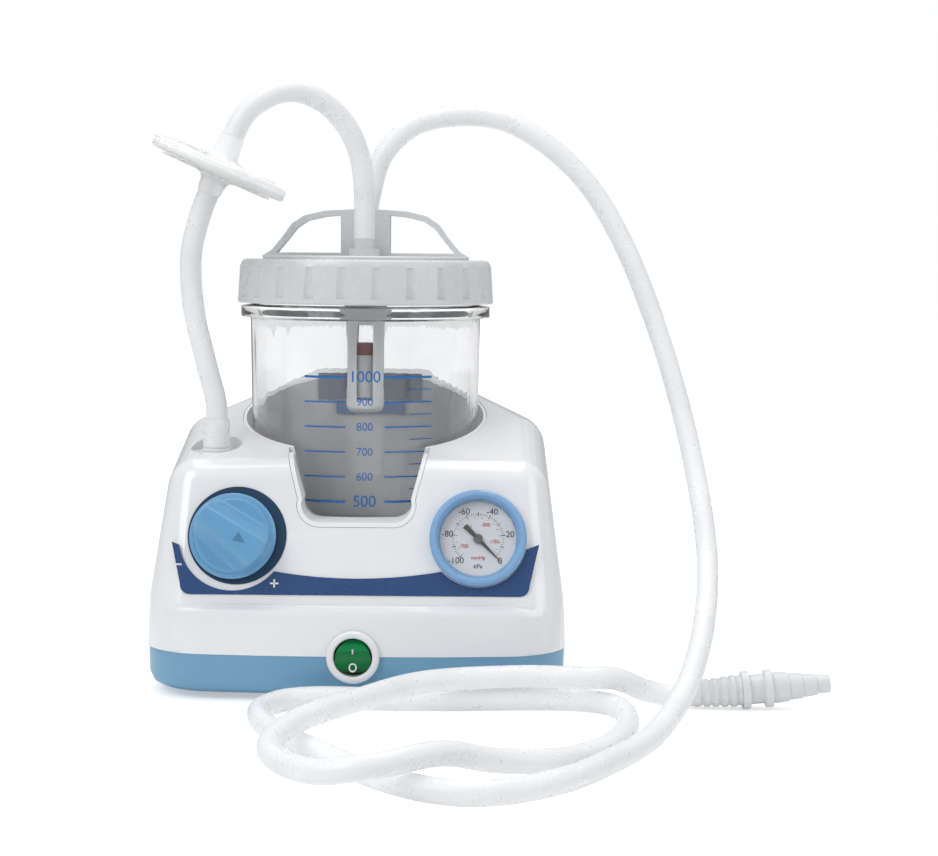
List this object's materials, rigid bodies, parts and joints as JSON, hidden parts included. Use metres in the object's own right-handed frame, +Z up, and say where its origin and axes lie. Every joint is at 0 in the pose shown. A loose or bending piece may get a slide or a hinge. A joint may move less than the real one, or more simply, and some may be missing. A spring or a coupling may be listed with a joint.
{
  "type": "portable suction pump",
  "caption": "Portable surgical suction pump with a lift-out graduated jar, vacuum gauge, regulator knob, disc filter and coiled silicone suction hose.",
  "frame": {"origin": "on the table under the jar's axis, in the middle of the housing's footprint", "axes": "+Z up, the control panel faces -Y, +X to the right seen from the front"},
  "size_m": [0.3122, 0.3769, 0.2835],
  "materials": {
    "cover_white": "glossy moulded white",
    "base_blue": "satin light blue",
    "well_grey": "satin grey",
    "decal_navy": "printed film",
    "foot_rubber": "matt rubber",
    "screw_steel": "machined",
    "ring_white": "glossy white",
    "black_plastic": "satin black",
    "rocker_green": "translucent green",
    "brass": "turned",
    "knob_blue": "satin blue",
    "bezel_blue": "satin blue",
    "steel": "drawn sheet",
    "dial_white": "printed dial",
    "clear_window": "clear",
    "needle_black": "painted",
    "copper_wire": "wound wire",
    "aluminium": "cast and machined",
    "diaphragm_rubber": "moulded rubber",
    "silicone": "milky translucent silicone",
    "jar_clear": "clear polycarbonate",
    "lid_grey": "warm light grey",
    "seal_white": "moulded seal",
    "valve_red": "dark red rubber",
    "float_grey": "light grey",
    "filter_clear": "clear plastic",
    "filter_paper": "pleated membrane",
    "connector_white": "translucent white"
  },
  "bodies": {
    "housing": {"base_shell": "base_blue", "upper_shell": "cover_white", "jar_well": "well_grey", "front_decal": "decal_navy", "feet": "foot_rubber", "shell_screws": "screw_steel", "switch_ring": "ring_white", "switch_body": "black_plastic", "knob_scale": "decal_navy", "regulator_valve": "brass", "gauge_bezel": "bezel_blue", "gauge_case": "steel", "gauge_dial": "dial_white", "gauge_glass": "clear_window", "gauge_movement": "brass", "inlet_spigot": "ring_white", "mains_inlet": "black_plastic", "motor_stator": "steel", "motor_coil": "copper_wire", "motor_brackets": "aluminium", "bearings": "brass", "pump_frame": "aluminium", "cylinder": "aluminium", "diaphragm": "diaphragm_rubber", "valve_plate": "aluminium", "pump_head": "black_plastic", "head_screws": "screw_steel", "rubber_mounts": "foot_rubber", "muffler": "black_plastic", "hose_regulator": "silicone", "hose_pump": "silicone"},
    "knob": {"knob": "knob_blue"},
    "rocker": {"rocker": "rocker_green"},
    "needle": {"gauge_needle": "needle_black"},
    "rotor": {"rotor_core": "steel", "rotor_shaft": "screw_steel", "fan": "black_plastic", "eccentric": "steel"},
    "rod": {"connecting_rod": "aluminium"},
    "jar": {"jar": "jar_clear", "lid_disc": "lid_grey", "lid_seal": "seal_white", "float_cage": "lid_grey", "valve_seat": "valve_red", "filter_upper": "filter_clear", "filter_lower": "filter_clear", "filter_membrane": "filter_paper", "filter_tube_upper": "silicone", "filter_tube_lower": "silicone", "tube_foot": "silicone", "patient_tube": "silicone", "tube_cuff": "connector_white", "cone_connector": "connector_white"},
    "lid_ring": {"lid_ring": "lid_grey"},
    "float": {"float_body": "float_grey"},
    "fuse_drawer": {"fuse_drawer": "black_plastic", "fuse": "screw_steel"}
  },
  "joints": [
    {"name": "knob_turn", "type": "hinge", "parent": "housing", "child": "knob", "pos_m": [-0.056, -0.0807, 0.073], "axis": [0, -0.9573, 0.289], "range_deg": [0, 240]},
    {"name": "switch_rock", "type": "hinge", "parent": "housing", "child": "rocker", "pos_m": [0, -0.0938, 0.0213], "axis": [1, 0, 0], "range_deg": [-14, 0]},
    {"name": "needle_turn", "type": "hinge", "parent": "housing", "child": "needle", "pos_m": [0.056, -0.0807, 0.073], "axis": [0, -0.9573, 0.289], "range_deg": [0, 270]},
    {"name": "rotor_spin", "type": "hinge", "parent": "housing", "child": "rotor", "pos_m": [0, 0.08, 0.052], "axis": [1, 0, 0], "continuous": true},
    {"name": "rod_swing", "type": "hinge", "parent": "rotor", "child": "rod", "pos_m": [-0.052, 0.08, 0.055], "axis": [1, 0, 0], "continuous": true},
    {"name": "jar_lift", "type": "slide", "parent": "housing", "child": "jar", "axis": [0, 0, 1], "range_m": [0, 0.12]},
    {"name": "ring_unscrew", "type": "hinge", "parent": "jar", "child": "lid_ring", "pos_m": [0, 0, 0.188], "axis": [0, 0, 1], "range_deg": [0, 90]},
    {"name": "float_rise", "type": "slide", "parent": "jar", "child": "float", "axis": [0, 0, 1], "range_m": [0, 0.0095]},
    {"name": "fuse_pull", "type": "slide", "parent": "housing", "child": "fuse_drawer", "axis": [0, 1, 0], "range_m": [0, 0.012]}
  ],
  "couplings": [
    {"joint": "rod_swing", "follows": "rotor_spin", "ratio": -1}
  ]
}
